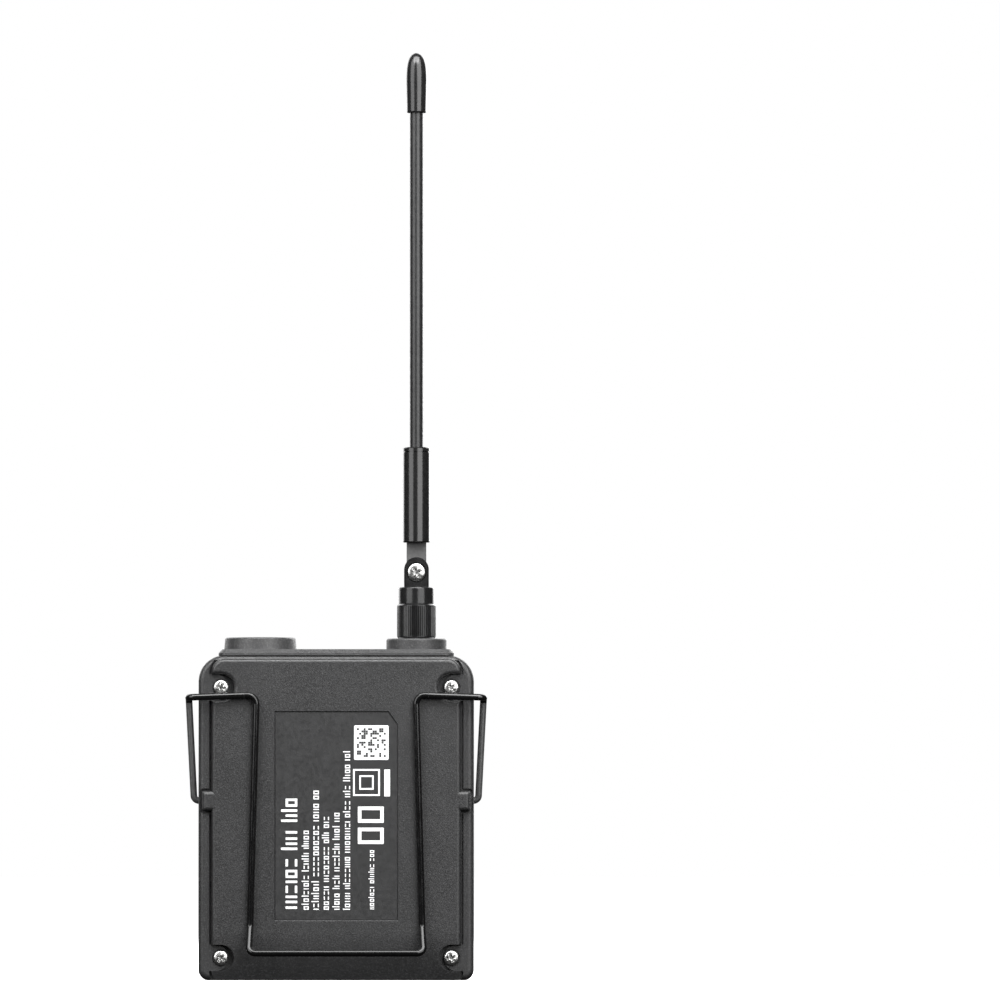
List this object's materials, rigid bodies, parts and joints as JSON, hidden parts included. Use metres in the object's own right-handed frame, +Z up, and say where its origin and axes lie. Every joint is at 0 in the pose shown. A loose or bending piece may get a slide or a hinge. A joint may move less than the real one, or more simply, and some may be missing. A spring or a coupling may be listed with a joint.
{
  "type": "wireless bodypack transmitter",
  "caption": "Slim bodypack radio transmitter with a sprung wire belt clip, a tilting whip antenna on a threaded socket, a microphone jack and a front display.",
  "frame": {"origin": "centre of the casing's bottom face", "axes": "+Z up along the antenna, -Y towards the display side, +Y towards the belt clip side, X across the width"},
  "size_m": [0.0628, 0.0257, 0.194],
  "materials": {
    "casing_plastic": "fine textured black moulding",
    "label_film": "smooth satin black film",
    "bright_screw": "bright zinc plate",
    "clip_wire": "glossy black plated spring wire",
    "bush_plastic": "plain moulded",
    "socket_plastic": "smooth black",
    "black_metal": "satin black anodised",
    "gold_metal": "gold plated",
    "plain_steel": "plain",
    "white_plastic": "smooth white",
    "rod_rubber": "matte",
    "tip_rubber": "satin",
    "display_glass": "dark tinted, glossy",
    "screen": "dark panel",
    "clear_plastic": "clear",
    "button_rubber": "matte",
    "switch_plastic": "moulded",
    "board": "solder mask",
    "cell_foil": "satin foil",
    "foam": "closed cell foam",
    "lead_insulation": "smooth"
  },
  "bodies": {
    "casing": {"front_cover": "casing_plastic", "rear_cover": "casing_plastic", "top_plate": "casing_plastic", "rating_label": "label_film", "case_screws": "bright_screw", "clip_bushings": "bush_plastic", "clip_arm_left": "clip_wire", "clip_arm_right": "clip_wire", "mic_jack": "socket_plastic", "mic_jack_nut": "black_metal", "sma_socket": "gold_metal", "sma_insulator": "white_plastic", "sma_contact": "gold_metal", "sma_socket_nut": "plain_steel", "display_window": "display_glass", "lcd_module": "screen", "lcd_holder": "bush_plastic", "tact_switches": "switch_plastic", "status_light_pipe": "clear_plastic", "infrared_window": "display_glass", "light_emitters": "clear_plastic", "main_pcb": "board", "pcb_screws": "bright_screw", "rf_shield": "plain_steel", "board_chips": "switch_plastic", "usb_port_shell": "plain_steel", "usb_port_tongue": "switch_plastic", "battery_cell": "cell_foil", "battery_pad": "foam", "battery_connector": "white_plastic", "battery_leads": "lead_insulation", "antenna_coax": "lead_insulation"},
    "belt_clip": {"belt_clip_loop": "clip_wire"},
    "coupling_nut": {"antenna_nut": "black_metal"},
    "knuckle": {"antenna_knuckle": "black_metal", "antenna_pivot_screw": "bright_screw", "antenna_ring": "plain_steel", "antenna_plug_insulator": "white_plastic", "antenna_plug_pin": "gold_metal"},
    "antenna": {"antenna_ferrule": "black_metal", "antenna_rod": "rod_rubber", "antenna_whip_wire": "plain_steel", "antenna_cap": "tip_rubber"},
    "power_key": {"power_button": "button_rubber"},
    "minus_key": {"minus_button": "button_rubber"},
    "set_key": {"set_button": "button_rubber"},
    "plus_key": {"plus_button": "button_rubber"}
  },
  "joints": [
    {"name": "belt_clip_flex", "type": "hinge", "parent": "casing", "child": "belt_clip", "pos_m": [0, 0.0113, 0.0594], "axis": [1, 0, 0], "range_deg": [0, 14], "stiffness_Nm_per_rad": 0.6},
    {"name": "coupling_nut_spin", "type": "hinge", "parent": "casing", "child": "coupling_nut", "pos_m": [-0.01676, 0, 0.075], "axis": [0, 0, 1], "continuous": true},
    {"name": "antenna_swivel", "type": "hinge", "parent": "casing", "child": "knuckle", "pos_m": [-0.01676, 0, 0.0785], "axis": [0, 0, 1], "continuous": true},
    {"name": "antenna_tilt", "type": "hinge", "parent": "knuckle", "child": "antenna", "pos_m": [-0.01676, 0, 0.08515], "axis": [0, 1, 0], "range_deg": [-90, 90]},
    {"name": "power_press", "type": "slide", "parent": "casing", "child": "power_key", "axis": [0, 1, 0], "range_m": [0, 0.0005], "stiffness_N_per_m": 600},
    {"name": "minus_press", "type": "slide", "parent": "casing", "child": "minus_key", "axis": [0, 1, 0], "range_m": [0, 0.0005], "stiffness_N_per_m": 600},
    {"name": "set_press", "type": "slide", "parent": "casing", "child": "set_key", "axis": [0, 1, 0], "range_m": [0, 0.0005], "stiffness_N_per_m": 600},
    {"name": "plus_press", "type": "slide", "parent": "casing", "child": "plus_key", "axis": [0, 1, 0], "range_m": [0, 0.0005], "stiffness_N_per_m": 600}
  ]
}
